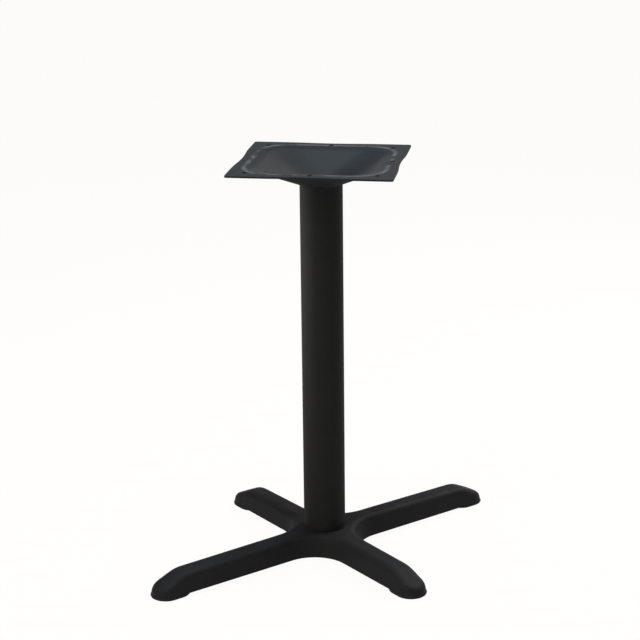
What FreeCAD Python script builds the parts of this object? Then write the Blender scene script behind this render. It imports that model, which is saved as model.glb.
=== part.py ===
"""Pedestal table base: an X-shaped cast foot, a round column and a dished plate for the table top.

Millimetres. The origin is on the floor at the column's axis, with +Z up. The sides of the top plate
lie along X and Y, the long arms along the 45 degree diagonal and the short arms across it.
"""
import FreeCAD, Part
import math
import os

from FreeCAD import Vector

# Overall sizes
OVERALL_HEIGHT = 736.0
LONG_REACH = 376.5
SHORT_REACH = 285.0
LONG_ANGLE = 45.0

# Foot casting: section of an arm, hub and walls
RIM_GAP = 3.0
SKIRT_RISE = 5.0
HUB_HEIGHT = 46.0
HUB_FLAT = 78.0
HUB_BLEND_RADIUS = 500.0
ARM_HALF_WIDTH = 27.6
ARM_DRAFT = 11.5
HUB_FILLET = 66.0
TOP_EDGE_RADIUS = 14.0
WALL = 5.5
CROWN_WALL = 6.0

# Foot casting: toes
NOSE_LENGTH = 57.0
NOSE_HEIGHT = 43.5
TIP_HEIGHT = 16.0
NOSE_BEND_RADIUS = 60.0
PAD_LENGTH = 77.5
PAD_HEIGHT = 9.0
PAD_DRAFT = 35.0
PAD_EDGE_RADIUS = 2.5
PAD_OVERHANG = 3.5

# Foot casting: bosses, spigot and webs
SPIGOT_HEIGHT = 10.0
SPIGOT_WALL = 7.0
SPIGOT_CHAMFER = 1.5
TIE_BOSS_MARGIN = 5.5
TIE_BOSS_FACE = 24.0
WEB_THICKNESS = 6.0
WEB_REACH = 110.0
WEB_RISE = 16.0
TOE_BOSS_RADIUS = 12.0

# Column
COLUMN_DIAMETER = 76.2
COLUMN_WALL = 2.0
COLUMN_CLEARANCE = 0.3

# Top plate
PLATE_SIDE = 287.5
PLATE_SHEET = 3.0
PLATE_CORNER = 5.0
SIDE_DIP = 3.5
SIDE_DIP_SPAN = 170.0
FLANGE_WIDTH = 32.0
RING_CORNER = 50.0
RING_BEND_RADIUS = 40.0
DISH_DEPTH = 37.5
DISH_SEAT_LEDGE = 3.0
DISH_APEX_ANGLE = 8.0
CUP_DEPTH = 14.0
CUP_EDGE_RADIUS = 2.0
SCREW_HOLE_DIAMETER = 9.0
CORNER_HOLE_INSET = 30.0
SIDE_HOLE_OFFSET = 13.0

# Tie rod and its hardware
ROD_DIAMETER = 12.0
ROD_HOLE_CLEARANCE = 0.6
ROD_END = 3.0
ROD_CHAMFER = 1.2
NUT_ACROSS_FLATS = 19.0
NUT_HEIGHT = 10.0
NUT_CHAMFER = 1.5
NUT_BORE_CLEARANCE = 0.05
WASHER_DIAMETER = 37.0
WASHER_THICKNESS = 3.0
LOCK_WASHER_DIAMETER = 21.0
LOCK_WASHER_THICKNESS = 3.0
LOCK_WASHER_GAP = 2.0
WASHER_CLEARANCE = 0.5

# Levelling glides
GLIDE_FOOT_DIAMETER = 30.0
GLIDE_FOOT_HEIGHT = 7.0
GLIDE_FOOT_EDGE = 1.5
STUD_DIAMETER = 8.0
STUD_LENGTH = 13.0
STUD_CLEARANCE = 0.08
STUD_TIP_ROOM = 1.0
STUD_HEAD_ACROSS_FLATS = 13.0
STUD_HEAD_HEIGHT = 4.0
STUD_HEAD_CLEARANCE = 0.1
STUD_CHAMFER = 1.0

# Tolerances for picking edges and faces
SAME_LEVEL = 0.001
STEEP_RISE = 0.5

# Places that follow from the sizes above
UP = Vector(0, 0, 1)
SKIRT_Z = RIM_GAP + SKIRT_RISE
PLATE_TOP_Z = OVERALL_HEIGHT
PLATE_UNDER_Z = PLATE_TOP_Z - PLATE_SHEET
COLUMN_TOP_Z = PLATE_UNDER_Z - DISH_DEPTH
CUP_UNDER_Z = COLUMN_TOP_Z - CUP_DEPTH
CUP_FLOOR_Z = CUP_UNDER_Z + PLATE_SHEET
COLUMN_RADIUS = COLUMN_DIAMETER / 2
COLUMN_BORE = COLUMN_RADIUS - COLUMN_WALL
PAD_HALF_WIDTH = ARM_HALF_WIDTH + PAD_OVERHANG
TIE_BOSS_RADIUS = WASHER_DIAMETER / 2 + TIE_BOSS_MARGIN
DISH_SEAT_RADIUS = COLUMN_RADIUS + DISH_SEAT_LEDGE
RING_HALF_SIZE = PLATE_SIDE / 2 - FLANGE_WIDTH
CORNER_HOLE_PLACE = PLATE_SIDE / 2 - CORNER_HOLE_INSET
SIDE_HOLE_PLACE = RING_HALF_SIZE + SIDE_HOLE_OFFSET
ROD_RADIUS = ROD_DIAMETER / 2
ROD_HOLE_RADIUS = ROD_RADIUS + ROD_HOLE_CLEARANCE
DRAFT_SLOPE = math.tan(math.radians(ARM_DRAFT))
ARMS = {
    "front_left": (LONG_ANGLE + 180.0, LONG_REACH),
    "back_right": (LONG_ANGLE, LONG_REACH),
    "front_right": (LONG_ANGLE - 90.0, SHORT_REACH),
    "back_left": (LONG_ANGLE + 90.0, SHORT_REACH),
}
STUD_RADIUS = STUD_DIAMETER / 2
STUD_TOP_Z = GLIDE_FOOT_HEIGHT + STUD_LENGTH


def turned(shape, angle):
    """Returns a copy of a shape turned about the column's axis."""
    copy = shape.copy()
    copy.rotate(Vector(0, 0, 0), UP, angle)
    return copy


def rounded_path(points, radii):
    """Returns the edges of an open path through points, with an arc of the given radius at each inner one."""
    edges = []
    start = points[0]
    for before, corner, after, radius in zip(points, points[1:], points[2:], radii):
        to_before = (before - corner).normalize()
        to_after = (after - corner).normalize()
        half_angle = to_before.getAngle(to_after) / 2
        setback = radius / math.tan(half_angle)
        first = corner + to_before * setback
        last = corner + to_after * setback
        bisector = (to_before + to_after).normalize()
        middle = corner + bisector * (radius / math.sin(half_angle) - radius)
        edges.append(Part.LineSegment(start, first).toShape())
        edges.append(Part.Arc(first, middle, last).toShape())
        start = last
    edges.append(Part.LineSegment(start, points[-1]).toShape())
    return edges


def prism(edges, depth):
    """Returns the solid swept by a closed outline along a vector."""
    return Part.Face(Part.Wire(edges)).extrude(depth)


def hexagon(across_flats, height, z):
    """Returns a hexagonal bar that stands on z."""
    corner_radius = across_flats / math.sqrt(3)
    corners = []
    for index in range(7):
        turn = math.radians(60 * index)
        corners.append(Vector(corner_radius * math.cos(turn), corner_radius * math.sin(turn), z))
    return Part.Face(Part.makePolygon(corners)).extrude(UP * height)


def cylinder(radius, bottom, top):
    """Returns an upright cylinder on the column's axis."""
    return Part.makeCylinder(radius, top - bottom, Vector(0, 0, bottom))


# Foot casting

def x_outline(inset, z):
    """Returns the foot's outline in plan: round-ended arms of two lengths with fillets between them."""
    half_width = ARM_HALF_WIDTH - inset
    fillet = HUB_FILLET + inset
    fillet_centre = half_width + fillet
    edges = []
    for index, reach in enumerate((LONG_REACH, SHORT_REACH, LONG_REACH, SHORT_REACH)):
        round_centre = reach - PAD_OVERHANG - ARM_HALF_WIDTH
        right_root = Vector(fillet_centre, -half_width, z)
        right_end = Vector(round_centre, -half_width, z)
        tip = Vector(round_centre + half_width, 0, z)
        left_end = Vector(round_centre, half_width, z)
        left_root = Vector(fillet_centre, half_width, z)
        inner = fillet_centre - fillet * math.sqrt(0.5)
        notch = Vector(inner, inner, z)
        next_root = Vector(half_width, fillet_centre, z)
        arm = [
            Part.LineSegment(right_root, right_end).toShape(),
            Part.Arc(right_end, tip, left_end).toShape(),
            Part.LineSegment(left_end, left_root).toShape(),
            Part.Arc(left_root, notch, next_root).toShape(),
        ]
        for edge in arm:
            edges.append(turned(edge, LONG_ANGLE + 90 * index))
    return Part.Wire(edges)


def crown_cutter(reach, drop, inset):
    """Returns what lies over one arm: a gentle fall from the hub to the shoulder, then the toe's nose."""
    half_depth = ARM_HALF_WIDTH + HUB_FILLET / 4
    over = HUB_HEIGHT + CROWN_WALL
    shoulder_x = reach - inset - NOSE_LENGTH
    start = Vector(HUB_FLAT / 2, -half_depth, HUB_HEIGHT - drop)
    hub = Vector(HUB_FLAT, -half_depth, HUB_HEIGHT - drop)
    shoulder = Vector(shoulder_x, -half_depth, NOSE_HEIGHT - drop)
    beyond = Vector(shoulder_x + 2 * NOSE_LENGTH, -half_depth, 2 * TIP_HEIGHT - NOSE_HEIGHT - drop)
    edges = rounded_path([start, hub, shoulder, beyond], [HUB_BLEND_RADIUS, NOSE_BEND_RADIUS])
    roof = [beyond, Vector(beyond.x, -half_depth, over), Vector(start.x, -half_depth, over), start]
    edges += Part.makePolygon(roof).Edges
    return prism(edges, Vector(0, 2 * half_depth, 0))


def x_body(inset, bottom, drop):
    """Returns the drafted X, outer form or core, with its crown cut to the arms' side profile."""
    top = HUB_HEIGHT - drop
    lower = x_outline(inset + (bottom - SKIRT_Z) * DRAFT_SLOPE, bottom)
    upper = x_outline(inset + (top - SKIRT_Z) * DRAFT_SLOPE, top)
    body = Part.makeLoft([lower, upper], True, True)
    for angle, reach in ARMS.values():
        body = body.cut(turned(crown_cutter(reach, drop, inset), angle))
    return body.removeSplitter()


def normal_rise(face):
    """Returns how far a face's normal points upwards, from -1 to 1, at the middle of the face."""
    first_u, last_u, first_v, last_v = face.ParameterRange
    return face.normalAt((first_u + last_u) / 2, (first_v + last_v) / 2).z


def crown_edges(body):
    """Returns the edges of the crown: those between a steep side wall and a face that looks up."""
    edges = []
    for edge in body.Edges:
        rises = [normal_rise(face) for face in body.ancestorsOfType(edge, Part.Face)]
        if max(rises) > STEEP_RISE and abs(min(rises)) < STEEP_RISE:
            edges.append(edge)
    return edges


def toe_pad(inset):
    """Returns the flared pad under a toe, set out from its own middle: straight sides with round ends."""
    flare = math.tan(math.radians(PAD_DRAFT))
    round_centre = PAD_LENGTH / 2 - PAD_HALF_WIDTH
    wires = []
    for z in (RIM_GAP, RIM_GAP + PAD_HEIGHT):
        half_width = PAD_HALF_WIDTH - inset - (z - RIM_GAP) * flare
        near_right = Vector(round_centre, -half_width, z)
        near_left = Vector(round_centre, half_width, z)
        far_left = Vector(-round_centre, half_width, z)
        far_right = Vector(-round_centre, -half_width, z)
        edges = [
            Part.Arc(near_right, Vector(round_centre + half_width, 0, z), near_left).toShape(),
            Part.LineSegment(near_left, far_left).toShape(),
            Part.Arc(far_left, Vector(-round_centre - half_width, 0, z), far_right).toShape(),
            Part.LineSegment(far_right, near_right).toShape(),
        ]
        wires.append(Part.Wire(edges))
    return Part.makeLoft(wires, True, True)


def lowest_edges(shape):
    """Returns the edges that lie in a shape's lowest plane."""
    floor = shape.BoundBox.ZMin
    return [edge for edge in shape.Edges if edge.BoundBox.ZMax < floor + SAME_LEVEL]


def at_glide(shape, arm):
    """Returns a shape that is set out from a glide's axis, moved to one arm's toe."""
    angle, reach = ARMS[arm]
    placed = shape.copy()
    placed.translate(Vector(reach - PAD_LENGTH / 2, 0, 0))
    return turned(placed, angle)


def hub_web(angle):
    """Returns one stiffening web under the hub, a gusset from the tie rod's boss out along an arm."""
    start = TIE_BOSS_RADIUS - TIE_BOSS_MARGIN / 2
    side = -WEB_THICKNESS / 2
    ceiling = HUB_HEIGHT - CROWN_WALL / 2
    foot = Vector(start, side, WEB_RISE)
    gusset = Part.makePolygon([foot, Vector(WEB_REACH, side, ceiling), Vector(start, side, ceiling), foot])
    return turned(prism(gusset.Edges, Vector(0, WEB_THICKNESS, 0)), angle)


def column_spigot():
    """Returns the ring on the hub that centres the column."""
    outer_radius = COLUMN_BORE - COLUMN_CLEARANCE
    ring = cylinder(outer_radius, HUB_HEIGHT - CROWN_WALL / 2, HUB_HEIGHT + SPIGOT_HEIGHT)
    top_edge = [edge for edge in ring.Edges if edge.BoundBox.ZMin > HUB_HEIGHT]
    ring = ring.makeChamfer(SPIGOT_CHAMFER, top_edge)
    return ring.cut(cylinder(outer_radius - SPIGOT_WALL, HUB_HEIGHT, HUB_HEIGHT + 2 * SPIGOT_HEIGHT))


def build_base_casting():
    """Builds the X-shaped foot: a drafted shell, open below, with rims, bosses and webs."""
    sharp = x_body(0.0, SKIRT_Z, 0.0)
    skin = sharp.makeFillet(TOP_EDGE_RADIUS, crown_edges(sharp))
    core = x_body(WALL, SKIRT_Z, CROWN_WALL)
    pad = toe_pad(0.0)
    pad = pad.makeFillet(PAD_EDGE_RADIUS, lowest_edges(pad))
    rim = pad.cut(toe_pad(WALL))
    toe_boss = cylinder(TOE_BOSS_RADIUS, GLIDE_FOOT_HEIGHT, HUB_HEIGHT)
    stud_hole = cylinder(STUD_RADIUS + STUD_CLEARANCE, GLIDE_FOOT_HEIGHT, STUD_TOP_Z + STUD_TIP_ROOM)
    inner = [cylinder(TIE_BOSS_RADIUS, TIE_BOSS_FACE, HUB_HEIGHT - CROWN_WALL / 2)]
    inner += [hub_web(angle) for angle, reach in ARMS.values()]
    inner += [at_glide(toe_boss, arm) for arm in ARMS]
    envelope = skin.fuse([at_glide(pad, arm) for arm in ARMS])
    inner = inner[0].fuse(inner[1:]).common(envelope)
    rims = [at_glide(rim, arm) for arm in ARMS]
    bores = [cylinder(ROD_HOLE_RADIUS, TIE_BOSS_FACE, HUB_HEIGHT + SPIGOT_HEIGHT)]
    bores += [at_glide(stud_hole, arm) for arm in ARMS]
    casting = skin.cut(core).fuse([inner, column_spigot()] + rims)
    return casting.cut(Part.makeCompound(bores)).removeSplitter()


# Column and top plate

def build_column_tube():
    """Builds the column, a plain round tube between the hub and the dish."""
    tube = cylinder(COLUMN_RADIUS, HUB_HEIGHT, COLUMN_TOP_Z)
    return tube.cut(cylinder(COLUMN_BORE, HUB_HEIGHT, COLUMN_TOP_Z))


def plate_side():
    """Returns the edges of the plate's near side and its right corner: the side draws in at its middle."""
    half = PLATE_SIDE / 2
    quarter = SIDE_DIP_SPAN / 4
    dip_radius = (4 * quarter * quarter + SIDE_DIP * SIDE_DIP) / (4 * SIDE_DIP)
    bulge = dip_radius - math.sqrt(dip_radius * dip_radius - quarter * quarter / 4)

    def point(along, inward):
        return Vector(along, inward - half, PLATE_UNDER_Z)

    start = point(-half + PLATE_CORNER, 0)
    end = point(half - PLATE_CORNER, 0)
    dip_start = point(-2 * quarter, 0)
    dip_end = point(2 * quarter, 0)
    corner_middle = PLATE_CORNER * (1 - math.sqrt(0.5))
    return [
        Part.LineSegment(start, dip_start).toShape(),
        Part.Arc(dip_start, point(-1.5 * quarter, bulge), point(-quarter, SIDE_DIP / 2)).toShape(),
        Part.Arc(point(-quarter, SIDE_DIP / 2), point(0, SIDE_DIP), point(quarter, SIDE_DIP / 2)).toShape(),
        Part.Arc(point(quarter, SIDE_DIP / 2), point(1.5 * quarter, bulge), dip_end).toShape(),
        Part.LineSegment(dip_end, end).toShape(),
        Part.Arc(end, point(half - corner_middle, corner_middle), point(half, PLATE_CORNER)).toShape(),
    ]


def ring_outline(z):
    """Returns the rounded square along which the plate bends down into its dish."""
    half = RING_HALF_SIZE
    straight = half - RING_CORNER
    middle = straight + RING_CORNER * math.sqrt(0.5)
    edges = []
    for index in range(4):
        side = Part.LineSegment(Vector(half, -straight, z), Vector(half, straight, z)).toShape()
        corner = Part.Arc(Vector(half, straight, z), Vector(middle, middle, z), Vector(straight, half, z))
        edges += [turned(side, 90 * index), turned(corner.toShape(), 90 * index)]
    return Part.Wire(edges)


def seat_outline(z):
    """Returns the round bottom of the dish, cut where the dish's flat sides and round corners end."""
    circle = Part.Circle(Vector(0, 0, z), UP, DISH_SEAT_RADIUS)
    edges = []
    for index in range(4):
        side_start = math.radians(90 * index - DISH_APEX_ANGLE)
        side_end = math.radians(90 * index + DISH_APEX_ANGLE)
        corner_end = math.radians(90 * (index + 1) - DISH_APEX_ANGLE)
        edges.append(Part.ArcOfCircle(circle, side_start, side_end).toShape())
        edges.append(Part.ArcOfCircle(circle, side_end, corner_end).toShape())
    return Part.Wire(edges)


def dish(lift):
    """Returns the solid under one face of the dish, a funnel from a rounded square to a circle."""
    top = PLATE_UNDER_Z + lift
    return Part.makeLoft([ring_outline(top), seat_outline(top - DISH_DEPTH)], True, True)


def bend_edges(plate, z):
    """Returns the edges of the bend between the flange and the dish, on one face of the sheet."""
    edges = []
    for edge in plate.Edges:
        box = edge.BoundBox
        level = abs(box.ZMin - z) < SAME_LEVEL and abs(box.ZMax - z) < SAME_LEVEL
        reach = max(abs(box.XMin), abs(box.XMax), abs(box.YMin), abs(box.YMax))
        if level and abs(reach - RING_HALF_SIZE) < SAME_LEVEL:
            edges.append(edge)
    return edges


def screw_holes():
    """Returns the eight screw holes of the flange, four in its corners and four in its sides."""
    corner = cylinder(SCREW_HOLE_DIAMETER / 2, PLATE_UNDER_Z, PLATE_TOP_Z)
    side = corner.copy()
    corner.translate(Vector(CORNER_HOLE_PLACE, CORNER_HOLE_PLACE, 0))
    side.translate(Vector(SIDE_HOLE_PLACE, 0, 0))
    holes = []
    for index in range(4):
        holes += [turned(corner, 90 * index), turned(side, 90 * index)]
    return Part.makeCompound(holes)


def build_top_plate():
    """Builds the pressed plate: a flange, a square-to-round dish and a cup that centres on the column."""
    edges = []
    for index in range(4):
        edges += [turned(edge, 90 * index) for edge in plate_side()]
    plate = prism(edges, UP * PLATE_SHEET)
    plate = plate.fuse(dish(0.0)).cut(dish(PLATE_SHEET))
    plate = plate.removeSplitter()
    plate = plate.makeFillet(RING_BEND_RADIUS, bend_edges(plate, PLATE_TOP_Z))
    plate = plate.makeFillet(RING_BEND_RADIUS + PLATE_SHEET, bend_edges(plate, PLATE_UNDER_Z))
    cup_radius = COLUMN_BORE - COLUMN_CLEARANCE
    cup = cylinder(cup_radius, CUP_UNDER_Z, COLUMN_TOP_Z)
    cup = cup.makeFillet(CUP_EDGE_RADIUS, lowest_edges(cup))
    plate = plate.fuse(cup)
    plate = plate.cut(cylinder(cup_radius - PLATE_SHEET, CUP_FLOOR_Z, PLATE_TOP_Z))
    plate = plate.cut(cylinder(ROD_HOLE_RADIUS, CUP_UNDER_Z, PLATE_TOP_Z))
    return plate.cut(screw_holes()).removeSplitter()


# Tie rod and its hardware

def chamfered_rod(radius, bottom, top, chamfer):
    """Returns an upright rod with both ends chamfered."""
    rod = cylinder(radius, bottom, top)
    ends = [edge for edge in rod.Edges if edge.BoundBox.ZLength < SAME_LEVEL]
    return rod.makeChamfer(chamfer, ends)


def hex_nut(bottom):
    """Returns a plain hexagon nut with chamfered corners."""
    corner_radius = NUT_ACROSS_FLATS / math.sqrt(3)
    body = hexagon(NUT_ACROSS_FLATS, NUT_HEIGHT, bottom)
    body = body.common(chamfered_rod(corner_radius, bottom, bottom + NUT_HEIGHT, NUT_CHAMFER))
    return body.cut(cylinder(ROD_RADIUS + NUT_BORE_CLEARANCE, bottom, bottom + NUT_HEIGHT))


def plain_washer(bottom):
    """Returns a large flat washer that spreads the nut's load."""
    top = bottom + WASHER_THICKNESS
    disc = cylinder(WASHER_DIAMETER / 2, bottom, top)
    return disc.cut(cylinder(ROD_RADIUS + WASHER_CLEARANCE, bottom, top))


def lock_washer(bottom):
    """Returns a split spring washer, pressed flat."""
    top = bottom + LOCK_WASHER_THICKNESS
    disc = cylinder(LOCK_WASHER_DIAMETER / 2, bottom, top)
    ring = disc.cut(cylinder(ROD_RADIUS + WASHER_CLEARANCE, bottom, top))
    split = Part.makeBox(LOCK_WASHER_DIAMETER, LOCK_WASHER_GAP, LOCK_WASHER_THICKNESS)
    split.translate(Vector(0, -LOCK_WASHER_GAP / 2, bottom))
    return ring.cut(split)


def build_tie_hardware():
    """Builds the rod and the two stacks of washer, lock washer and nut that pull the base together."""
    stack = WASHER_THICKNESS + LOCK_WASHER_THICKNESS
    top_nut_z = CUP_FLOOR_Z + stack
    bottom_nut_z = TIE_BOSS_FACE - stack - NUT_HEIGHT
    rod_bottom = bottom_nut_z - ROD_END
    rod_top = top_nut_z + NUT_HEIGHT + ROD_END
    return {
        "tie_rod": chamfered_rod(ROD_RADIUS, rod_bottom, rod_top, ROD_CHAMFER),
        "top_washer": plain_washer(CUP_FLOOR_Z),
        "top_lock_washer": lock_washer(CUP_FLOOR_Z + WASHER_THICKNESS),
        "top_nut": hex_nut(top_nut_z),
        "bottom_washer": plain_washer(TIE_BOSS_FACE - WASHER_THICKNESS),
        "bottom_lock_washer": lock_washer(TIE_BOSS_FACE - stack),
        "bottom_nut": hex_nut(bottom_nut_z),
    }


# Levelling glides

def glide_stud():
    """Returns a glide's threaded stud, with its hexagon head at the bottom."""
    head_bottom = GLIDE_FOOT_HEIGHT - STUD_HEAD_HEIGHT
    shank = cylinder(STUD_RADIUS, head_bottom, STUD_TOP_Z)
    top_edge = [edge for edge in shank.Edges if edge.BoundBox.ZMin > STUD_TOP_Z - SAME_LEVEL]
    shank = shank.makeChamfer(STUD_CHAMFER, top_edge)
    return shank.fuse(hexagon(STUD_HEAD_ACROSS_FLATS, STUD_HEAD_HEIGHT, head_bottom)).removeSplitter()


def glide_foot():
    """Returns a glide's moulded foot, a round pad with a pocket for the stud's head."""
    foot = cylinder(GLIDE_FOOT_DIAMETER / 2, 0, GLIDE_FOOT_HEIGHT)
    foot = foot.makeFillet(GLIDE_FOOT_EDGE, lowest_edges(foot))
    pocket_size = STUD_HEAD_ACROSS_FLATS + 2 * STUD_HEAD_CLEARANCE
    return foot.cut(hexagon(pocket_size, STUD_HEAD_HEIGHT, GLIDE_FOOT_HEIGHT - STUD_HEAD_HEIGHT))


def build_all():
    """Builds every piece, each under its own name."""
    pieces = {
        "base_casting": build_base_casting(),
        "column_tube": build_column_tube(),
        "top_plate": build_top_plate(),
    }
    pieces.update(build_tie_hardware())
    for arm in ARMS:
        pieces["glide_stud_" + arm] = at_glide(glide_stud(), arm)
        pieces["glide_foot_" + arm] = at_glide(glide_foot(), arm)
    return pieces


if __name__ == "__main__":
    os.makedirs("parts", exist_ok=True)
    for name, shape in build_all().items():
        print(name, shape.isValid(), len(shape.Solids), round(shape.Volume), len(shape.Faces))
        shape.exportStep("parts/" + name + ".step")
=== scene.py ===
"""Dresses the table base: coated iron and steel, zinc-plated fasteners, nylon glides and a studio."""
import math

import bmesh
import bpy
from bpy.props import FloatProperty, FloatVectorProperty, PointerProperty
from bpy.types import NodeSocket, Operator, Panel, PropertyGroup
from mathutils import Matrix, Vector


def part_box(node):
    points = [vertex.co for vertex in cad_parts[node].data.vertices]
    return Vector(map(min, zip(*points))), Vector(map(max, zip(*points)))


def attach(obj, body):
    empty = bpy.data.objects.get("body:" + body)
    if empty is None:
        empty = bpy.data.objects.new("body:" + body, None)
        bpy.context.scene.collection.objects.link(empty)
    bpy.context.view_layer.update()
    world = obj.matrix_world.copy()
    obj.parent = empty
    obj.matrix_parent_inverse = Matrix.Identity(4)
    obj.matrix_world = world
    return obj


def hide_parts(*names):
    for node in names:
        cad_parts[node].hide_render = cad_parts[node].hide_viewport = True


bl_info = {
    "name": "X-Foot Table Base",
    "version": (1, 0, 0),
    "blender": (4, 5, 0),
    "location": "View3D > Sidebar > Table Base",
    "description": "Finishes, threads and studio for a pedestal table base with an X-shaped foot",
    "category": "Object",
}

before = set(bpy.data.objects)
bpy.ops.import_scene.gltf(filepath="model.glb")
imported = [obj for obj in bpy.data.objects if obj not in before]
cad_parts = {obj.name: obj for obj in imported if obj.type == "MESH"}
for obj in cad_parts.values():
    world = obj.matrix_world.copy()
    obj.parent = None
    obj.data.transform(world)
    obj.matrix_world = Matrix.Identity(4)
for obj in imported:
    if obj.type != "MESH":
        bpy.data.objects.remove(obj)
bpy.context.view_layer.update()

MM = 0.001
ARMS = ("front_left", "back_right", "front_right", "back_left")
FASTENERS = ("top_washer", "top_lock_washer", "top_nut", "bottom_washer", "bottom_lock_washer", "bottom_nut")
LAMPS = ("key", "top", "back", "edge", "rim")

# Thread form: segments in a turn, then depth, flank and merging distance as shares of the pitch
THREAD_SEGMENTS = 24
THREAD_DEPTH = 0.6134
FLANK_SHARE = 0.30
MERGE_SHARE = 0.01

# Hexagon heads, and the angle from which an edge stays sharp
HEAD_SIDES = 6
HEAD_EDGE_SEGMENTS = 2
SMOOTH_ANGLE = math.radians(35)

# Refractive index of cured powder coat and of nylon
COAT_IOR = 1.5
NYLON_IOR = 1.53

# Detail of a noise pattern, from soft ripples to scratches
SOFT_NOISE = 2.0
CLOUDY_NOISE = 3.0
BROKEN_NOISE = 4.0
SCRATCHED_NOISE = 5.0

# Noise levels, and heights of a face's normal, between which a share rises from 0 to 1
# The first two give the patches of the painted highlight round the dish and of the painted light on the foot
HIGHLIGHT_LIMITS = (0.38, 0.60)
TOP_LIGHT_LIMITS = (0.15, 0.75)
FACING_UP = (0.55, 0.92)
FACING_DOWN = (0.1, -0.1)

# Floor and camera: sensor width in millimetres, far limit in metres
FLOOR_SEGMENTS = 96
SENSOR_WIDTH = 36.0
CAMERA_FAR = 100.0


def srgb(code):
    """Linear colour of an sRGB hex value, by the standard's formula."""
    channels = [int(code[place:place + 2], 16) / 255 for place in (1, 3, 5)]
    return tuple(c / 12.92 if c <= 0.04045 else ((c + 0.055) / 1.055) ** 2.4 for c in channels)


def colour(name, code, description):
    """A colour property whose default is an sRGB hex value."""
    return FloatVectorProperty(name=name, description=description, default=srgb(code), size=3,
                               min=0.0, max=1.0, subtype="COLOR")


def length(name, millimetres, description):
    """A length property whose default is given in millimetres."""
    return FloatProperty(name=name, description=description, default=millimetres * MM, min=0.0,
                         subtype="DISTANCE", unit="LENGTH", precision=5)


def number(name, value, description):
    """A plain number property."""
    return FloatProperty(name=name, description=description, default=value, precision=4)


def angle(name, degrees, description):
    """An angle property whose default is given in degrees."""
    return FloatProperty(name=name, description=description, default=math.radians(degrees),
                         subtype="ANGLE", unit="ROTATION")


def point(name, metres, description):
    """A place or size with one value for each axis, in metres."""
    return FloatVectorProperty(name=name, description=description, default=metres, size=len(metres),
                               subtype="XYZ", unit="LENGTH")


class FinishSettings(PropertyGroup):
    """Colours, gloss and surface sizes of the finishes."""
    iron_colour: colour("Foot coat", "#1f1f20", "Powder coat on the cast foot")
    iron_gloss: number("Foot gloss", 0.08, "Specular level of the coat on the foot")
    iron_roughness: number("Foot roughness", 0.60, "Roughness of the coat on the foot")
    tube_colour: colour("Column coat", "#1f1f1f", "Powder coat on the column tube")
    tube_gloss: number("Column gloss", 0.06, "Specular level of the coat on the column")
    tube_roughness: number("Column roughness", 0.65, "Roughness of the coat on the column")
    sheet_colour: colour("Plate coat", "#26292c", "Powder coat on the pressed plate")
    sheet_gloss: number("Plate gloss", 0.13, "Specular level of the coat on the plate")
    sheet_roughness: number("Plate roughness", 0.46, "Roughness of the coat on the plate")
    cloud_size: length("Cloud size", 90.0, "Width of the faint clouds in every coat")
    cloud_depth: number("Cloud depth", 0.14, "Share by which the clouds darken and lighten a coat")
    satin_spread: number("Satin spread", 0.05, "Roughness by which the clouds change a coat")
    peel_size: length("Orange peel", 2.6, "Width of one ripple of the powder coat")
    peel_depth: length("Peel depth", 0.02, "Height of the ripple of the powder coat")
    cast_grain: length("Casting grain", 4.5, "Width of the sand grain that shows through the coat on iron")
    grain_depth: length("Grain depth", 0.10, "Height of the sand grain that shows through")
    # Painted light: a paler, cooler colour on the foot's upward faces, in patches, for light from above
    top_light_colour: colour("Lightened top", "#28292c", "Coat scuffed by lamplight where the foot faces up")
    top_light_patch: length("Scuff patch", 60.0, "Size of the patches in which the foot is scuffed")
    # Painted shade: a darker colour where the plate faces down; dry_under's added roughness is the dull coat
    # there
    underside_shade_colour: colour("Underside coat", "#101010", "Shaded, dull coat where the plate faces down")
    dry_under: number("Dry underside", 0.40, "Roughness added where the plate faces down")
    # Painted highlight: a pale line in patches along the mouth of the dish, where its bend catches the light
    highlight_colour: colour("Highlighted coat", "#55575a", "Coat rubbed pale along the mouth of the dish")
    highlight_inset: length("Highlight inset", 21.0, "Distance of the rubbed line from the plate's edge")
    highlight_corner: length("Highlight corner", 55.0, "Corner radius of the rubbed line")
    highlight_width: length("Highlight width", 7.0, "Half the width of the rubbed line")
    highlight_patch: length("Highlight patch", 30.0, "Size of the patches in which the coat is rubbed")
    zinc_colour: colour("Zinc", "#c4c7c9", "Bright zinc plate on the fasteners")
    zinc_tint: colour("Zinc tint", "#b9bfae", "Passivated patches on the zinc")
    zinc_patch: length("Zinc patch", 7.0, "Size of the passivated patches")
    zinc_bright: number("Zinc, bright", 0.24, "Roughness of the zinc between its passivated patches")
    zinc_dull: number("Zinc, dull", 0.42, "Roughness of the zinc on its passivated patches")
    tool_line: length("Tool line", 1.2, "Length of a tool line round a fastener")
    tool_stretch: number("Tool line slimness", 8.0, "Length of a tool line divided by its width")
    tool_depth: length("Tool line depth", 0.02, "Depth of a tool line")
    nylon_colour: colour("Nylon", "#1b1b1c", "Moulded nylon of the glide feet")
    nylon_patch: length("Nylon patch", 12.0, "Size of the worn patches on the nylon")
    nylon_dark: number("Nylon, dark", 0.80, "Level of the nylon's colour where it isn't worn")
    nylon_pale: number("Nylon, pale", 1.25, "Level of the nylon's colour where it is worn")
    nylon_satin: number("Nylon, satin", 0.45, "Roughness of the nylon where it isn't worn")
    nylon_dull: number("Nylon, dull", 0.65, "Roughness of the nylon where it is worn")
    spark_size: length("Spark texture", 0.6, "Width of one dimple of the mould's spark texture")
    spark_depth: length("Spark depth", 0.03, "Depth of the mould's spark texture")


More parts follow.
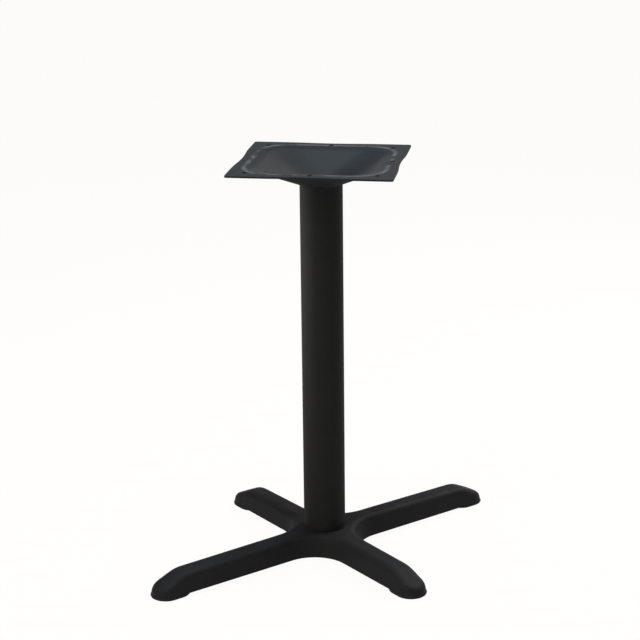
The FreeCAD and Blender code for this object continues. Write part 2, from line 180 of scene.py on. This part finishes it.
class ThreadSettings(PropertyGroup):
    """Threads of the rod and the glide studs."""
    rod_pitch: length("Tie rod pitch", 1.75, "Pitch of the M12 thread on the tie rod")
    stud_diameter: length("Glide stud", 8.0, "Outer diameter of the M8 thread on the glide studs")
    stud_pitch: length("Glide stud pitch", 1.25, "Pitch of the M8 thread on the glide studs")
    stud_head: length("Stud head", 4.0, "Height of the glide stud's hexagon head")
    head_edge: length("Head edge", 0.4, "Rounding of the hexagon head's edges")
    end_chamfer: length("Thread chamfer", 1.0, "Chamfer at the ends of a thread")


class StageSettings(PropertyGroup):
    """Camera of the photograph, the floor and the studio light. Places are given before the camera's turn."""
    camera_turn: angle("Camera turn", 8.957, "Turn of the camera about the column")
    camera_pitch: angle("Camera pitch", 17.297, "How far the camera looks down")
    camera_roll: angle("Camera roll", 0.638, "Tilt of the camera about its own axis")
    camera_place: point("Camera place", (-0.00455, -3.1364, 1.4198), "Place of the camera")
    lens: number("Lens", 102.97, "Focal length in millimetres")
    backdrop_colour: colour("Backdrop", "#fffefd", "Floor and backdrop")
    floor_radius: length("Floor radius", 14000.0, "Radius of the round floor")
    floor_gap: length("Floor gap", 0.1, "How far the floor lies below the glides, so that no faces coincide")
    floor_glow: number("Floor glow", 0.965, "Share of the floor's white that shadows leave untouched")
    sky_colour: colour("Ceiling colour", "#eef4ff", "Colour of the light from overhead")
    sky_strength: number("Ceiling", 0.05, "Level of the light from overhead, against 1 at the horizon")
    band_low: angle("Sweep top", 1.0, "Elevation up to which the pale backdrop reaches")
    band_high: angle("Ceiling start", 13.0, "Elevation from which only the ceiling shows")
    key_place: point("Key place", (-1.51, -1.51, 1.89), "Soft box in front on the left")
    key_aim: length("Key aim", 400.0, "Height on the column that the soft box faces")
    key_size: point("Key size", (1.4, 1.4), "Width and height of the soft box in front on the left")
    key_power: number("Key power", 36.0, "Watts of the soft box in front on the left")
    key_colour: colour("Key colour", "#fff4e6", "Colour of the soft box in front on the left")
    key_spread: angle("Key spread", 180.0, "Spread of the soft box in front on the left")
    top_place: point("Top place", (0.0, 0.0, 3.0), "Soft box above")
    top_aim: length("Top aim", 400.0, "Height on the column that the soft box faces")
    top_size: point("Top size", (1.4, 1.4), "Width and height of the soft box above")
    top_power: number("Top power", 60.0, "Watts of the soft box above")
    top_colour: colour("Top colour", "#e6f3ff", "Colour of the soft box above")
    top_spread: angle("Top spread", 180.0, "Spread of the soft box above")
    back_place: point("Back place", (1.51, 1.51, 1.89), "Soft box behind on the right")
    back_aim: length("Back aim", 400.0, "Height on the column that the soft box faces")
    back_size: point("Back size", (1.4, 1.4), "Width and height of the soft box behind on the right")
    back_power: number("Back power", 44.0, "Watts of the soft box behind on the right")
    back_colour: colour("Back colour", "#fff8ea", "Colour of the soft box behind on the right")
    back_spread: angle("Back spread", 180.0, "Spread of the soft box behind on the right")
    edge_place: point("Edge place", (-2.2, 0.5, 0.95), "Gridded box on the left")
    edge_aim: length("Edge aim", 540.0, "Height on the column that the gridded box faces")
    edge_size: point("Edge size", (0.4, 0.4), "Width and height of the gridded box on the left")
    edge_power: number("Edge power", 0.8, "Watts of the gridded box on the left")
    edge_colour: colour("Edge colour", "#ffffff", "Colour of the gridded box on the left")
    edge_spread: angle("Edge spread", 18.0, "Angle to which the grid narrows the box on the left")
    rim_place: point("Rim place", (0.0, 2.58, 0.76), "Soft box low behind")
    rim_aim: length("Rim aim", 400.0, "Height on the column that the soft box faces")
    rim_size: point("Rim size", (1.2, 1.2), "Width and height of the soft box low behind")
    rim_power: number("Rim power", 0.5, "Watts of the soft box low behind")
    rim_colour: colour("Rim colour", "#ffffff", "Colour of the soft box low behind")
    rim_spread: angle("Rim spread", 180.0, "Spread of the soft box low behind")


def add_node(tree, kind, inputs=None, **settings):
    """Adds a node with its settings, and links each input to a socket or gives it a value."""
    node = tree.nodes.new(kind)
    for name, value in settings.items():
        setattr(node, name, value)
    for name, value in (inputs or {}).items():
        if isinstance(value, NodeSocket):
            tree.links.new(value, node.inputs[name])
        else:
            node.inputs[name].default_value = value
    return node


def new_material(name):
    """An empty node material with its output."""
    material = bpy.data.materials.new(name)
    material.use_nodes = True
    material.node_tree.nodes.clear()
    return material, material.node_tree, material.node_tree.nodes.new("ShaderNodeOutputMaterial")


def per_metre(size):
    """Texture scale at which one feature is as wide as size, in metres."""
    return 1.0 / size


def rgba(tint, level=1.0):
    """A colour for a socket, made darker or paler by level."""
    return (*[channel * level for channel in tint], 1.0)


def noise_patches(tree, place, size, detail, limits):
    """Share in soft-edged noise patches of the given size, which break up painted light."""
    noise = add_node(tree, "ShaderNodeTexNoise", {"Vector": place, "Scale": per_metre(size),
                                                  "Detail": detail}).outputs["Fac"]
    low, high = limits
    worn = add_node(tree, "ShaderNodeMapRange", {"Value": noise, "From Min": low, "From Max": high},
                    interpolation_type="SMOOTHSTEP")
    return worn.outputs["Result"]


def facing(tree, limits):
    """Share by which a face looks up or down: 0 at the first height of its normal, 1 at the second."""
    normal = add_node(tree, "ShaderNodeNewGeometry").outputs["Normal"]
    height = add_node(tree, "ShaderNodeSeparateXYZ", {"Vector": normal}).outputs["Z"]
    low, high = limits
    share = add_node(tree, "ShaderNodeMapRange", {"Value": height, "From Min": low, "From Max": high},
                     interpolation_type="SMOOTHSTEP")
    return share.outputs["Result"]


def painted_ring_highlight(tree, place, finish):
    """Share of painted highlight: patches along a rounded square round the dish, on the bend into it.

    The distance to that square comes from how far a place lies past the straight part of its sides."""
    low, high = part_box("top_plate")
    straight = (high[0] - low[0]) / 2.0 - finish.highlight_inset - finish.highlight_corner
    folded = add_node(tree, "ShaderNodeVectorMath", {0: place}, operation="ABSOLUTE").outputs["Vector"]
    past = add_node(tree, "ShaderNodeVectorMath", {0: folded, 1: (straight, straight, 0.0)},
                    operation="SUBTRACT").outputs["Vector"]
    level = add_node(tree, "ShaderNodeVectorMath", {0: past, 1: (1.0, 1.0, 0.0)},
                     operation="MULTIPLY").outputs["Vector"]
    outside = add_node(tree, "ShaderNodeVectorMath", {0: level}, operation="MAXIMUM").outputs["Vector"]
    corner = add_node(tree, "ShaderNodeVectorMath", {0: outside}, operation="LENGTH").outputs["Value"]
    sides = add_node(tree, "ShaderNodeSeparateXYZ", {"Vector": past}).outputs
    nearest = add_node(tree, "ShaderNodeMath", {0: sides["X"], 1: sides["Y"]},
                       operation="MAXIMUM").outputs["Value"]
    inside = add_node(tree, "ShaderNodeMath", {0: nearest, 1: 0.0}, operation="MINIMUM").outputs["Value"]
    reach = add_node(tree, "ShaderNodeMath", {0: corner, 1: inside}, operation="ADD").outputs["Value"]
    gap = add_node(tree, "ShaderNodeMath", {0: reach, 1: finish.highlight_corner},
                   operation="SUBTRACT").outputs["Value"]
    distance = add_node(tree, "ShaderNodeMath", {0: gap}, operation="ABSOLUTE").outputs["Value"]
    line = add_node(tree, "ShaderNodeMapRange",
                    {"Value": distance, "From Max": finish.highlight_width, "To Min": 1.0, "To Max": 0.0},
                    interpolation_type="SMOOTHSTEP").outputs["Result"]
    # Patches break the painted highlight up along its line
    worn = noise_patches(tree, place, finish.highlight_patch, CLOUDY_NOISE, HIGHLIGHT_LIMITS)
    return add_node(tree, "ShaderNodeMath", {0: line, 1: worn}, operation="MULTIPLY").outputs["Value"]


def plate_highlight_shade_and_dryness(tree, place, finish, tone, satin):
    """Colour and roughness of the plate: a painted highlight round the dish, and painted shade with a drier,
    rougher coat where it faces down.
    """
    highlighted = painted_ring_highlight(tree, place, finish)
    paler = add_node(tree, "ShaderNodeMix", {"Factor": highlighted, "A": tone, "B": rgba(finish.highlight_colour)},
                     data_type="RGBA").outputs["Result"]
    down = facing(tree, FACING_DOWN)
    # Painted shade: a darker colour where the plate faces down
    shaded = add_node(tree, "ShaderNodeMix", {"Factor": down, "A": paler, "B": rgba(finish.underside_shade_colour)},
                      data_type="RGBA").outputs["Result"]
    drier = add_node(tree, "ShaderNodeMath", {0: down, 1: finish.dry_under, 2: satin},
                     operation="MULTIPLY_ADD").outputs["Value"]
    return shaded, drier


def foot_top_light(tree, place, finish, tone):
    """Colour of the foot: painted light, paler and cooler in patches, where it faces up."""
    # Painted light: paler, cooler patches on the faces that look up
    worn = noise_patches(tree, place, finish.top_light_patch, BROKEN_NOISE, TOP_LIGHT_LIMITS)
    lightened = add_node(tree, "ShaderNodeMath", {0: facing(tree, FACING_UP), 1: worn},
                       operation="MULTIPLY").outputs["Value"]
    return add_node(tree, "ShaderNodeMix", {"Factor": lightened, "A": tone, "B": rgba(finish.top_light_colour)},
                    data_type="RGBA").outputs["Result"]


def powder_coat(name, base, gloss, roughness, finish, cast=False, pressed=False):
    """Satin black powder coat: nearly black, soft wide highlights, a fine ripple left by the melted powder.

    On the cast foot the sand grain still shows through as low, wider bumps, and the tops get painted light in
    patches.
    On the pressed plate the faces that look down get painted shade, and a drier, rougher coat because less
    powder reaches them, and the mouth of the dish gets a painted highlight."""
    material, tree, out = new_material(name)
    place = add_node(tree, "ShaderNodeTexCoord").outputs["Object"]
    cloud = add_node(tree, "ShaderNodeTexNoise", {"Vector": place, "Scale": per_metre(finish.cloud_size),
                                                  "Detail": CLOUDY_NOISE}).outputs["Fac"]
    tone = add_node(tree, "ShaderNodeMix", {"Factor": cloud, "A": rgba(base, 1.0 - finish.cloud_depth),
                                            "B": rgba(base, 1.0 + finish.cloud_depth)},
                    data_type="RGBA").outputs["Result"]
    satin = add_node(tree, "ShaderNodeMapRange",
                     {"Value": cloud, "To Min": roughness - finish.satin_spread,
                      "To Max": roughness + finish.satin_spread}).outputs["Result"]
    # Painted highlight round the dish, and painted shade where the plate faces down
    if pressed:
        tone, satin = plate_highlight_shade_and_dryness(tree, place, finish, tone, satin)
    # Painted light on the foot's upward faces
    if cast:
        tone = foot_top_light(tree, place, finish, tone)
    peel = add_node(tree, "ShaderNodeTexNoise", {"Vector": place, "Scale": per_metre(finish.peel_size),
                                                 "Detail": SOFT_NOISE}).outputs["Fac"]
    bump = add_node(tree, "ShaderNodeBump", {"Height": peel, "Distance": finish.peel_depth,
                                             "Strength": 1.0}).outputs["Normal"]
    if cast:
        sand = add_node(tree, "ShaderNodeTexNoise", {"Vector": place, "Scale": per_metre(finish.cast_grain),
                                                     "Detail": BROKEN_NOISE}).outputs["Fac"]
        bump = add_node(tree, "ShaderNodeBump", {"Height": sand, "Normal": bump, "Strength": 1.0,
                                                 "Distance": finish.grain_depth}).outputs["Normal"]
    shader = add_node(tree, "ShaderNodeBsdfPrincipled",
                      {"Base Color": tone, "Roughness": satin, "Normal": bump, "IOR": COAT_IOR,
                       "Specular IOR Level": gloss})
    tree.links.new(shader.outputs["BSDF"], out.inputs["Surface"])
    return material


def zinc_plate(finish):
    """Bright zinc plate on steel: a pale metal with faint yellow-green passivation and fine tool lines."""
    material, tree, out = new_material("zinc_plated_steel")
    place = add_node(tree, "ShaderNodeTexCoord").outputs["Object"]
    patches = add_node(tree, "ShaderNodeTexNoise", {"Vector": place, "Scale": per_metre(finish.zinc_patch),
                                                    "Detail": BROKEN_NOISE}).outputs["Fac"]
    tone = add_node(tree, "ShaderNodeMix", {"Factor": patches, "A": rgba(finish.zinc_colour),
                                            "B": rgba(finish.zinc_tint)}, data_type="RGBA").outputs["Result"]
    gloss = add_node(tree, "ShaderNodeMapRange", {"Value": patches, "To Min": finish.zinc_bright,
                                                  "To Max": finish.zinc_dull}).outputs["Result"]
    slim = add_node(tree, "ShaderNodeMapping",
                    {"Vector": place, "Scale": (1.0, 1.0, finish.tool_stretch)}).outputs["Vector"]
    lines = add_node(tree, "ShaderNodeTexNoise", {"Vector": slim, "Scale": per_metre(finish.tool_line),
                                                  "Detail": SOFT_NOISE}).outputs["Fac"]
    bump = add_node(tree, "ShaderNodeBump", {"Height": lines, "Distance": finish.tool_depth,
                                             "Strength": 1.0}).outputs["Normal"]
    shader = add_node(tree, "ShaderNodeBsdfPrincipled",
                      {"Base Color": tone, "Roughness": gloss, "Normal": bump, "Metallic": 1.0})
    tree.links.new(shader.outputs["BSDF"], out.inputs["Surface"])
    return material


def moulded_nylon(finish):
    """Moulded black nylon: a dull plastic, paler where it is worn, with the spark texture of its mould.

    The spark texture is drawn coarser than a real one, so that it shows in a render."""
    material, tree, out = new_material("moulded_nylon")
    place = add_node(tree, "ShaderNodeTexCoord").outputs["Object"]
    worn = add_node(tree, "ShaderNodeTexNoise", {"Vector": place, "Scale": per_metre(finish.nylon_patch),
                                                 "Detail": SCRATCHED_NOISE}).outputs["Fac"]
    tone = add_node(tree, "ShaderNodeMix", {"Factor": worn, "A": rgba(finish.nylon_colour, finish.nylon_dark),
                                            "B": rgba(finish.nylon_colour, finish.nylon_pale)},
                    data_type="RGBA").outputs["Result"]
    gloss = add_node(tree, "ShaderNodeMapRange", {"Value": worn, "To Min": finish.nylon_satin,
                                                  "To Max": finish.nylon_dull}).outputs["Result"]
    spark = add_node(tree, "ShaderNodeTexNoise", {"Vector": place, "Scale": per_metre(finish.spark_size),
                                                  "Detail": SOFT_NOISE}).outputs["Fac"]
    bump = add_node(tree, "ShaderNodeBump", {"Height": spark, "Distance": finish.spark_depth,
                                             "Strength": 1.0}).outputs["Normal"]
    shader = add_node(tree, "ShaderNodeBsdfPrincipled",
                      {"Base Color": tone, "Roughness": gloss, "Normal": bump, "IOR": NYLON_IOR})
    tree.links.new(shader.outputs["BSDF"], out.inputs["Surface"])
    return material


def finish_node(name, material):
    """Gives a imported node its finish."""
    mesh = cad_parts[name].data
    mesh.materials.clear()
    mesh.materials.append(material)


def zinc_material():
    """The zinc finish that all fasteners share, made once."""
    return bpy.data.materials.get("zinc_plated_steel") or zinc_plate(bpy.context.scene.base_finish)


def thread_shell(bm, centre, radius, pitch, bottom, top):
    """Adds an upright threaded rod: one turn of the thread is spun, repeated and cut flat at both ends."""
    root = radius - THREAD_DEPTH * pitch
    start = bottom - pitch
    crest_flat = (1.0 - 2.0 * FLANK_SHARE) / 2.0
    heights = (0.0, FLANK_SHARE, FLANK_SHARE + crest_flat, 2.0 * FLANK_SHARE + crest_flat, 1.0)
    reaches = (root, radius, radius, root, root)
    corners = [bm.verts.new((centre.x + reach, centre.y, start + share * pitch))
               for share, reach in zip(heights, reaches)]
    profile = [bm.edges.new(pair) for pair in zip(corners, corners[1:])]
    bmesh.ops.spin(bm, geom=corners + profile, cent=(centre.x, centre.y, start), axis=(0.0, 0.0, 1.0),
                   dvec=(0.0, 0.0, pitch / THREAD_SEGMENTS), angle=math.tau, steps=THREAD_SEGMENTS)
    first_turn = bm.verts[:] + bm.edges[:] + bm.faces[:]
    for turn in range(1, math.ceil((top - bottom) / pitch) + 2):
        copy = bmesh.ops.duplicate(bm, geom=first_turn)["geom"]
        moved = [item for item in copy if isinstance(item, bmesh.types.BMVert)]
        bmesh.ops.translate(bm, verts=moved, vec=(0.0, 0.0, turn * pitch))
    bmesh.ops.remove_doubles(bm, verts=bm.verts[:], dist=pitch * MERGE_SHARE)
    for height, outward in ((bottom, -1.0), (top, 1.0)):
        cut = bmesh.ops.bisect_plane(bm, geom=bm.verts[:] + bm.edges[:] + bm.faces[:],
                                     plane_co=(centre.x, centre.y, height), plane_no=(0.0, 0.0, outward),
                                     clear_outer=True)
        rim = [item for item in cut["geom_cut"] if isinstance(item, bmesh.types.BMEdge)]
        bmesh.ops.edgeloop_fill(bm, edges=rim)


def chamfer_ends(bm, centre, radius, bottom, top, chamfer):
    """Draws the thread in to a cone near both ends, as a turned chamfer does."""
    for vertex in bm.verts:
        from_end = min(vertex.co.z - bottom, top - vertex.co.z)
        limit = radius - max(0.0, chamfer - from_end)
        flat = vertex.co.xy - centre.xy
        if flat.length > limit:
            vertex.co.xy = centre.xy + flat * (limit / flat.length)


def hexagon_head(bm, centre, corner, bottom, top, edge):
    """Adds a hexagon head with softened edges; corner is one of its corners, seen from the middle."""
    turn = Matrix.Rotation(math.atan2(corner.y, corner.x) - math.pi / 2.0, 4, "Z")
    place = Matrix.Translation((centre.x, centre.y, bottom)) @ turn
    base = bmesh.ops.create_circle(bm, cap_ends=True, segments=HEAD_SIDES, radius=corner.length,
                                   matrix=place)["verts"]
    floor = base[0].link_faces[0]
    raised = bmesh.ops.extrude_face_region(bm, geom=[floor], use_keep_orig=True)["geom"]
    lifted = [item for item in raised if isinstance(item, bmesh.types.BMVert)]
    bmesh.ops.translate(bm, verts=lifted, vec=(0.0, 0.0, top - bottom))
    rims = list({side for vertex in base + lifted for side in vertex.link_edges})
    bmesh.ops.bevel(bm, geom=rims, offset=edge, affect="EDGES", segments=HEAD_EDGE_SEGMENTS, profile=0.5,
                    material=-1)


def piece_from(bm, name, material):
    """Makes an object of a bmesh, with faces outwards and creases kept sharp."""
    bmesh.ops.recalc_face_normals(bm, faces=bm.faces[:])
    for face in bm.faces:
        face.smooth = True
    mesh = bpy.data.meshes.new(name)
    bm.to_mesh(mesh)
    bm.free()
    mesh.set_sharp_from_angle(angle=SMOOTH_ANGLE)
    mesh.materials.append(material)
    piece = bpy.data.objects.new(name, mesh)
    bpy.context.scene.collection.objects.link(piece)
    return piece


def node_centre(name):
    """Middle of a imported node's box."""
    low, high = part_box(name)
    return (Vector(low) + Vector(high)) / 2.0


class BASE_OT_coat_foot(Operator):
    """Coats the cast X-shaped foot"""
    bl_idname = "table_base.coat_foot"
    bl_label = "Coat Foot"

    def execute(self, context):
        finish = context.scene.base_finish
        coat = powder_coat("powder_coated_iron", finish.iron_colour, finish.iron_gloss, finish.iron_roughness,
                           finish, cast=True)
        finish_node("base_casting", coat)
        return {"FINISHED"}


class BASE_OT_coat_column(Operator):
    """Coats the column tube"""
    bl_idname = "table_base.coat_column"
    bl_label = "Coat Column"

    def execute(self, context):
        finish = context.scene.base_finish
        coat = powder_coat("powder_coated_tube", finish.tube_colour, finish.tube_gloss, finish.tube_roughness,
                           finish)
        finish_node("column_tube", coat)
        return {"FINISHED"}


class BASE_OT_coat_plate(Operator):
    """Coats the pressed top plate"""
    bl_idname = "table_base.coat_plate"
    bl_label = "Coat Plate"

    def execute(self, context):
        finish = context.scene.base_finish
        coat = powder_coat("powder_coated_sheet", finish.sheet_colour, finish.sheet_gloss,
                           finish.sheet_roughness, finish, pressed=True)
        finish_node("top_plate", coat)
        return {"FINISHED"}


class BASE_OT_plate_fasteners(Operator):
    """Zinc-plates the nuts and washers of the tie rod"""
    bl_idname = "table_base.plate_fasteners"
    bl_label = "Plate Fasteners"

    def execute(self, context):
        for name in FASTENERS:
            finish_node(name, zinc_material())
        return {"FINISHED"}


class BASE_OT_thread_rod(Operator):
    """Models the tie rod with its rolled thread"""
    bl_idname = "table_base.thread_rod"
    bl_label = "Thread Tie Rod"

    def execute(self, context):
        thread = context.scene.base_thread
        low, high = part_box("tie_rod")
        centre = node_centre("tie_rod")
        radius = (high[0] - low[0]) / 2.0
        bm = bmesh.new()
        thread_shell(bm, centre, radius, thread.rod_pitch, low[2], high[2])
        chamfer_ends(bm, centre, radius, low[2], high[2], thread.end_chamfer)
        rod = piece_from(bm, "threaded_tie_rod", zinc_material())
        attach(rod, "base")
        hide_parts("tie_rod")
        return {"FINISHED"}


class BASE_OT_thread_studs(Operator):
    """Models the four glide studs with a rolled thread and a hexagon head"""
    bl_idname = "table_base.thread_studs"
    bl_label = "Thread Glide Studs"

    def execute(self, context):
        thread = context.scene.base_thread
        radius = thread.stud_diameter / 2.0
        for arm in ARMS:
            node = "glide_stud_" + arm
            low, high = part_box(node)
            centre = node_centre(node)
            shoulder = low[2] + thread.stud_head
            offsets = [vertex.co.xy - centre.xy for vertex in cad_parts[node].data.vertices]
            corner = max(offsets, key=lambda offset: offset.length)
            bm = bmesh.new()
            thread_shell(bm, centre, radius, thread.stud_pitch, shoulder, high[2])
            chamfer_ends(bm, centre, radius, shoulder, high[2], thread.end_chamfer)
            hexagon_head(bm, centre, corner, low[2], shoulder, thread.head_edge)
            stud = piece_from(bm, "threaded_stud_" + arm, zinc_material())
            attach(stud, "glide_" + arm)
            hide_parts(node)
        return {"FINISHED"}


class BASE_OT_dress_glides(Operator):
    """Finishes the moulded feet of the four levelling glides"""
    bl_idname = "table_base.dress_glides"
    bl_label = "Dress Glides"

    def execute(self, context):
        nylon = moulded_nylon(context.scene.base_finish)
        for arm in ARMS:
            finish_node("glide_foot_" + arm, nylon)
        return {"FINISHED"}


def backdrop_material(base, glow_share):
    """Matt paper sweep: white to the camera and in reflections, with the object's soft shadow on it.

    It is clear from below, so that the underside can be seen."""
    material, tree, out = new_material("paper_sweep")
    path = add_node(tree, "ShaderNodeLightPath").outputs
    seen = add_node(tree, "ShaderNodeMath", {0: path["Is Camera Ray"], 1: path["Is Glossy Ray"]},
                    operation="MAXIMUM").outputs["Value"]
    shown = add_node(tree, "ShaderNodeMath", {0: seen, 1: path["Is Transmission Ray"]},
                     operation="MAXIMUM").outputs["Value"]
    share = add_node(tree, "ShaderNodeMath", {0: shown, 1: glow_share}, operation="MULTIPLY").outputs["Value"]
    paper = add_node(tree, "ShaderNodeBsdfDiffuse", {"Color": rgba(base)}).outputs["BSDF"]
    glow = add_node(tree, "ShaderNodeEmission", {"Color": rgba(base), "Strength": 1.0}).outputs["Emission"]
    lit = add_node(tree, "ShaderNodeMixShader", {"Fac": share, 1: paper, 2: glow}).outputs["Shader"]
    below = add_node(tree, "ShaderNodeNewGeometry").outputs["Backfacing"]
    clear = add_node(tree, "ShaderNodeBsdfTransparent").outputs["BSDF"]
    one_sided = add_node(tree, "ShaderNodeMixShader", {"Fac": below, 1: lit, 2: clear}).outputs["Shader"]
    tree.links.new(one_sided, out.inputs["Surface"])
    return material


def add_floor(stage):
    """A round paper floor that runs out to the horizon."""
    bm = bmesh.new()
    bmesh.ops.create_circle(bm, cap_ends=True, segments=FLOOR_SEGMENTS, radius=stage.floor_radius,
                            matrix=Matrix.Translation((0.0, 0.0, -stage.floor_gap)))
    mesh = bpy.data.meshes.new("paper_floor")
    bm.to_mesh(mesh)
    bm.free()
    mesh.materials.append(backdrop_material(stage.backdrop_colour, stage.floor_glow))
    floor = bpy.data.objects.new("paper_floor", mesh)
    bpy.context.scene.collection.objects.link(floor)


def add_soft_box(name, place, target, size, power, tint, spread):
    """A soft box, a rectangular area lamp that faces a target."""
    lamp = bpy.data.lights.new(name, "AREA")
    lamp.shape = "RECTANGLE"
    lamp.size, lamp.size_y = size
    lamp.energy = power
    lamp.color = tint
    lamp.spread = spread
    holder = bpy.data.objects.new(name, lamp)
    holder.location = place
    holder.rotation_euler = (target - place).to_track_quat("-Z", "Y").to_euler()
    bpy.context.scene.collection.objects.link(holder)


def set_world(stage):
    """Pale up to the horizon, as the sweep is, and dimmer and cooler overhead, as a studio ceiling is."""
    world = bpy.data.worlds.new("studio")
    bpy.context.scene.world = world
    world.use_nodes = True
    tree = world.node_tree
    tree.nodes.clear()
    out = tree.nodes.new("ShaderNodeOutputWorld")
    direction = add_node(tree, "ShaderNodeTexCoord").outputs["Generated"]
    height = add_node(tree, "ShaderNodeSeparateXYZ", {"Vector": direction}).outputs["Z"]
    rise = add_node(tree, "ShaderNodeMapRange", {"Value": height, "From Min": math.sin(stage.band_low),
                                                 "From Max": math.sin(stage.band_high)},
                    interpolation_type="SMOOTHSTEP").outputs["Result"]
    tone = add_node(tree, "ShaderNodeMix", {"Factor": rise, "A": rgba(stage.backdrop_colour),
                                            "B": rgba(stage.sky_colour, stage.sky_strength)},
                    data_type="RGBA").outputs["Result"]
    light = add_node(tree, "ShaderNodeBackground", {"Color": tone, "Strength": 1.0}).outputs["Background"]
    tree.links.new(light, out.inputs["Surface"])


def add_camera(stage):
    """The photograph's camera, worked out from the object's outline."""
    camera = bpy.data.cameras.new("photo_camera")
    camera.sensor_width = SENSOR_WIDTH
    camera.lens = stage.lens
    camera.clip_end = CAMERA_FAR
    holder = bpy.data.objects.new("photo_camera", camera)
    turn = Matrix.Rotation(stage.camera_turn, 4, "Z")
    look = Matrix.Rotation(math.pi / 2.0 - stage.camera_pitch, 4, "X")
    roll = Matrix.Rotation(-stage.camera_roll, 4, "Z")
    place = Matrix.Translation(stage.camera_place)
    holder.matrix_world = turn @ place @ look @ roll
    bpy.context.scene.collection.objects.link(holder)
    bpy.context.scene.camera = holder


class BASE_OT_set_stage(Operator):
    """Adds the floor, the soft light and the camera"""
    bl_idname = "table_base.set_stage"
    bl_label = "Set Stage"

    def execute(self, context):
        stage = context.scene.base_stage
        context.scene.view_settings.view_transform = "Standard"
        add_floor(stage)
        set_world(stage)
        turn = Matrix.Rotation(stage.camera_turn, 3, "Z")
        for lamp in LAMPS:
            place = turn @ Vector(getattr(stage, lamp + "_place"))
            target = Vector((0.0, 0.0, getattr(stage, lamp + "_aim")))
            add_soft_box(lamp + "_soft_box", place, target, getattr(stage, lamp + "_size"),
                         getattr(stage, lamp + "_power"), getattr(stage, lamp + "_colour"),
                         getattr(stage, lamp + "_spread"))
        add_camera(stage)
        return {"FINISHED"}


class BASE_PT_panel(Panel):
    """Lists the steps that dress the table base"""
    bl_idname = "BASE_PT_panel"
    bl_label = "Table Base"
    bl_space_type = "VIEW_3D"
    bl_region_type = "UI"
    bl_category = "Table Base"

    def draw(self, context):
        for step in STEPS:
            self.layout.operator(step.bl_idname)
        for group in (context.scene.base_finish, context.scene.base_thread, context.scene.base_stage):
            for name in group.__annotations__:
                self.layout.prop(group, name)


STEPS = (BASE_OT_coat_foot, BASE_OT_coat_column, BASE_OT_coat_plate, BASE_OT_plate_fasteners,
         BASE_OT_thread_rod, BASE_OT_thread_studs, BASE_OT_dress_glides, BASE_OT_set_stage)
SETTINGS = {"base_finish": FinishSettings, "base_thread": ThreadSettings, "base_stage": StageSettings}


def register():
    """Registers the settings, the steps and the panel."""
    for name, group in SETTINGS.items():
        bpy.utils.register_class(group)
        setattr(bpy.types.Scene, name, PointerProperty(type=group))
    for step in STEPS + (BASE_PT_panel,):
        bpy.utils.register_class(step)


def unregister():
    """Takes away all that register added."""
    for step in (BASE_PT_panel,) + STEPS[::-1]:
        bpy.utils.unregister_class(step)
    for name, group in reversed(SETTINGS.items()):
        delattr(bpy.types.Scene, name)
        bpy.utils.unregister_class(group)


def main():
    """Dresses the object step by step."""
    register()
    bpy.ops.table_base.coat_foot()
    bpy.ops.table_base.coat_column()
    bpy.ops.table_base.coat_plate()
    bpy.ops.table_base.plate_fasteners()
    bpy.ops.table_base.thread_rod()
    bpy.ops.table_base.thread_studs()
    bpy.ops.table_base.dress_glides()
    bpy.ops.table_base.set_stage()


if __name__ == "__main__":
    main()
